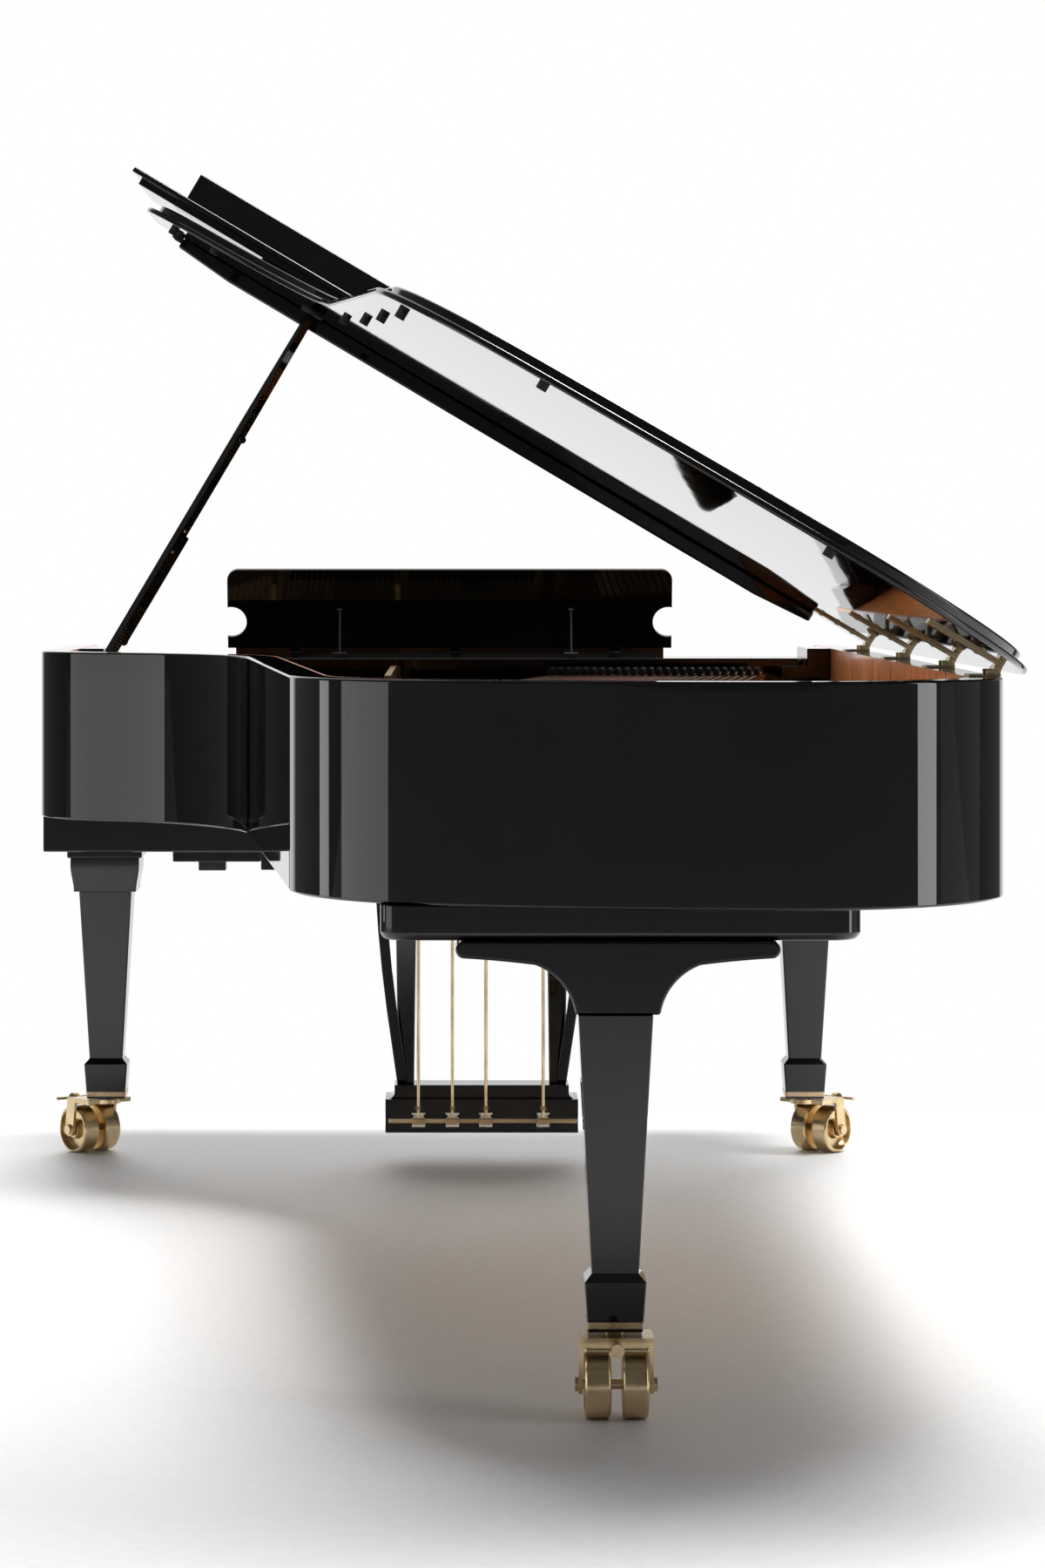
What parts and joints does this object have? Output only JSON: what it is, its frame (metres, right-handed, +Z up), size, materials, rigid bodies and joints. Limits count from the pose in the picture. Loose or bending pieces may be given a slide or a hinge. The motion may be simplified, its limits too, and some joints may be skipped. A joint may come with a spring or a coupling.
{
  "type": "grand piano",
  "caption": "Long concert grand piano with curved case, raised lid with folded front flap, prop stick, square tapered legs on twin-wheel casters, pedal lyre, strung plate and keyboard.",
  "frame": {"origin": "point on the floor below the middle of the front edge of the keybed", "axes": "+X to the bass side (spine), +Y towards the player, +Z up; the tail points to -Y"},
  "size_m": [1.6495, 3.11, 1.9234],
  "materials": {
    "black_lacquer": "high-gloss black polyester",
    "veneer": "gloss brown veneer, upright grain",
    "maple": "satin maple",
    "spruce": "satin spruce",
    "gold_plate": "bronze-gold lacquer",
    "steel_wire": "drawn wire",
    "copper_wire": "copper wound",
    "damper_felt": "black head on white felt",
    "hammer_felt": "white felt on wood",
    "ivory_plastic": "gloss",
    "ebony": "satin",
    "brass": "satin brass",
    "black_rubber": "matt"
  },
  "bodies": {
    "case": {"action_frame": "maple", "bass_strings": "copper_wire", "bridges": "maple", "case_braces": "maple", "dampers": "damper_felt", "inner_rim": "maple", "iron_plate": "gold_plate", "keybed": "black_lacquer", "keyslip": "black_lacquer", "leg_bands": "brass", "leg_bass": "black_lacquer", "leg_plates": "black_lacquer", "leg_tail": "black_lacquer", "leg_treble": "black_lacquer", "lid_hinge_posts": "brass", "lyre_box": "black_lacquer", "lyre_posts": "black_lacquer", "pinblock": "maple", "prop_bracket": "brass", "rim": "black_lacquer", "rim_veneer": "veneer", "soundboard": "spruce", "stretcher": "black_lacquer", "tail_base": "black_lacquer", "tail_bracket": "black_lacquer", "trapwork": "black_lacquer", "treble_strings": "steel_wire", "tuning_pins": "steel_wire"},
    "white_keys": {"white_keys": "ivory_plastic"},
    "black_keys": {"black_keys": "ebony"},
    "hammers": {"hammers": "hammer_felt"},
    "fallboard": {"fallboard": "black_lacquer"},
    "music_shelf": {"music_shelf": "black_lacquer"},
    "music_desk": {"music_desk": "black_lacquer"},
    "desk_struts": {"desk_struts": "brass"},
    "lid": {"lid": "black_lacquer", "lid_batten": "black_lacquer", "lid_fittings": "black_rubber", "lid_hinge_leaves": "brass"},
    "flap": {"lid_flap": "black_lacquer", "flap_lip": "black_lacquer"},
    "prop": {"prop": "black_lacquer"},
    "short_prop": {"short_prop": "black_lacquer"},
    "pedal_1": {"pedal_1": "brass"},
    "pedal_rod_1": {"pedal_rod_1": "brass"},
    "pedal_2": {"pedal_2": "brass"},
    "pedal_rod_2": {"pedal_rod_2": "brass"},
    "pedal_3": {"pedal_3": "brass"},
    "pedal_rod_3": {"pedal_rod_3": "brass"},
    "pedal_4": {"pedal_4": "brass"},
    "pedal_rod_4": {"pedal_rod_4": "brass"},
    "fork_treble": {"caster_fork_treble": "brass"},
    "wheels_treble": {"caster_wheels_treble": "brass"},
    "brake_treble": {"caster_brake_treble": "brass"},
    "fork_bass": {"caster_fork_bass": "brass"},
    "wheels_bass": {"caster_wheels_bass": "brass"},
    "brake_bass": {"caster_brake_bass": "brass"},
    "fork_tail": {"caster_fork_tail": "brass"},
    "wheels_tail": {"caster_wheels_tail": "brass"},
    "brake_tail": {"caster_brake_tail": "brass"}
  },
  "joints": [
    {"name": "lid_hinge", "type": "hinge", "parent": "case", "child": "lid", "pos_m": [0.78, -1.42, 1.0285], "axis": [0, 1, 0], "range_deg": [0, 45]},
    {"name": "flap_hinge", "type": "hinge", "parent": "lid", "child": "flap", "pos_m": [0.12897, -0.47, 1.45983], "axis": [-0.8599, 0, 0.5105], "range_deg": [0, 180]},
    {"name": "prop_pivot", "type": "hinge", "parent": "case", "child": "prop", "pos_m": [-0.686, -0.62, 0.975], "axis": [0.7292, 0.5298, -0.433], "range_deg": [0, 72.54]},
    {"name": "short_prop_pivot", "type": "hinge", "parent": "prop", "child": "short_prop", "pos_m": [-0.64771, -0.62, 1.03949], "axis": [0.7292, 0.5298, -0.433], "range_deg": [-50, 0]},
    {"name": "desk_slide", "type": "slide", "parent": "case", "child": "music_shelf", "axis": [0, 1, 0], "range_m": [0, 0.09]},
    {"name": "desk_tilt", "type": "hinge", "parent": "music_shelf", "child": "music_desk", "pos_m": [0, -0.262, 1.0048], "axis": [1, 0, 0], "range_deg": [0, 75]},
    {"name": "desk_strut", "type": "hinge", "parent": "music_desk", "child": "desk_struts", "pos_m": [0, -0.28529, 1.09173], "axis": [1, 0, 0], "range_deg": [-150, 0]},
    {"name": "fallboard_hinge", "type": "hinge", "parent": "case", "child": "fallboard", "pos_m": [0, -0.19, 0.765], "axis": [-1, 0, 0], "range_deg": [0, 97]},
    {"name": "white_key_dip", "type": "hinge", "parent": "case", "child": "white_keys", "pos_m": [0, -0.235, 0.7144], "axis": [-1, 0, 0], "range_deg": [0, 2.6], "stiffness_Nm_per_rad": 60, "springref_deg": -2.86},
    {"name": "black_key_dip", "type": "hinge", "parent": "case", "child": "black_keys", "pos_m": [0, -0.235, 0.7144], "axis": [-1, 0, 0], "range_deg": [0, 2.6], "stiffness_Nm_per_rad": 40, "springref_deg": -2.86},
    {"name": "hammer_swing", "type": "hinge", "parent": "case", "child": "hammers", "pos_m": [0, -0.47, 0.837], "axis": [-1, 0, 0], "range_deg": [0, 17]},
    {"name": "pedal_1_press", "type": "hinge", "parent": "case", "child": "pedal_1", "pos_m": [-0.073, -0.33, 0.085], "axis": [-1, 0, 0], "range_deg": [0, 5], "stiffness_Nm_per_rad": 60, "springref_deg": -2.86},
    {"name": "pedal_rod_1_lift", "type": "slide", "parent": "case", "child": "pedal_rod_1", "axis": [0, 0, 1], "range_m": [0, 0.0068]},
    {"name": "pedal_2_press", "type": "hinge", "parent": "case", "child": "pedal_2", "pos_m": [-0.006, -0.33, 0.085], "axis": [-1, 0, 0], "range_deg": [0, 5], "stiffness_Nm_per_rad": 60, "springref_deg": -2.86},
    {"name": "pedal_rod_2_lift", "type": "slide", "parent": "case", "child": "pedal_rod_2", "axis": [0, 0, 1], "range_m": [0, 0.0068]},
    {"name": "pedal_3_press", "type": "hinge", "parent": "case", "child": "pedal_3", "pos_m": [0.06, -0.33, 0.085], "axis": [-1, 0, 0], "range_deg": [0, 5], "stiffness_Nm_per_rad": 60, "springref_deg": -2.86},
    {"name": "pedal_rod_3_lift", "type": "slide", "parent": "case", "child": "pedal_rod_3", "axis": [0, 0, 1], "range_m": [0, 0.0068]},
    {"name": "pedal_4_press", "type": "hinge", "parent": "case", "child": "pedal_4", "pos_m": [0.173, -0.33, 0.085], "axis": [-1, 0, 0], "range_deg": [0, 5], "stiffness_Nm_per_rad": 60, "springref_deg": -2.86},
    {"name": "pedal_rod_4_lift", "type": "slide", "parent": "case", "child": "pedal_rod_4", "axis": [0, 0, 1], "range_m": [0, 0.0068]},
    {"name": "swivel_treble", "type": "hinge", "parent": "case", "child": "fork_treble", "pos_m": [-0.699, -0.25, 0.117], "axis": [0, 0, 1], "continuous": true},
    {"name": "roll_treble", "type": "hinge", "parent": "fork_treble", "child": "wheels_treble", "pos_m": [-0.73757, -0.20404, 0.047], "axis": [-0.766, -0.6428, 0], "continuous": true},
    {"name": "brake_turn_treble", "type": "hinge", "parent": "fork_treble", "child": "brake_treble", "pos_m": [-0.74142, -0.19944, 0.103], "axis": [0.6428, -0.766, 0], "range_deg": [-180, 180]},
    {"name": "swivel_bass", "type": "hinge", "parent": "case", "child": "fork_bass", "pos_m": [0.699, -0.25, 0.117], "axis": [0, 0, 1], "continuous": true},
    {"name": "roll_bass", "type": "hinge", "parent": "fork_bass", "child": "wheels_bass", "pos_m": [0.73757, -0.20404, 0.047], "axis": [-0.766, 0.6428, 0], "continuous": true},
    {"name": "brake_turn_bass", "type": "hinge", "parent": "fork_bass", "child": "brake_bass", "pos_m": [0.74142, -0.19944, 0.103], "axis": [-0.6428, -0.766, 0], "range_deg": [-180, 180]},
    {"name": "swivel_tail", "type": "hinge", "parent": "case", "child": "fork_tail", "pos_m": [0.222, -2.945, 0.117], "axis": [0, 0, 1], "continuous": true},
    {"name": "roll_tail", "type": "hinge", "parent": "fork_tail", "child": "wheels_tail", "pos_m": [0.222, -3.005, 0.047], "axis": [1, 0, 0], "continuous": true},
    {"name": "brake_turn_tail", "type": "hinge", "parent": "fork_tail", "child": "brake_tail", "pos_m": [0.222, -3.011, 0.103], "axis": [0, 1, 0], "range_deg": [-180, 180]}
  ],
  "couplings": [
    {"joint": "desk_strut", "follows": "desk_tilt", "ratio": -2},
    {"joint": "hammer_swing", "follows": "white_key_dip", "ratio": 6.5},
    {"joint": "pedal_rod_1_lift", "follows": "pedal_1_press", "m_per_rad": 0.076},
    {"joint": "pedal_rod_2_lift", "follows": "pedal_2_press", "m_per_rad": 0.076},
    {"joint": "pedal_rod_3_lift", "follows": "pedal_3_press", "m_per_rad": 0.076},
    {"joint": "pedal_rod_4_lift", "follows": "pedal_4_press", "m_per_rad": 0.076}
  ]
}
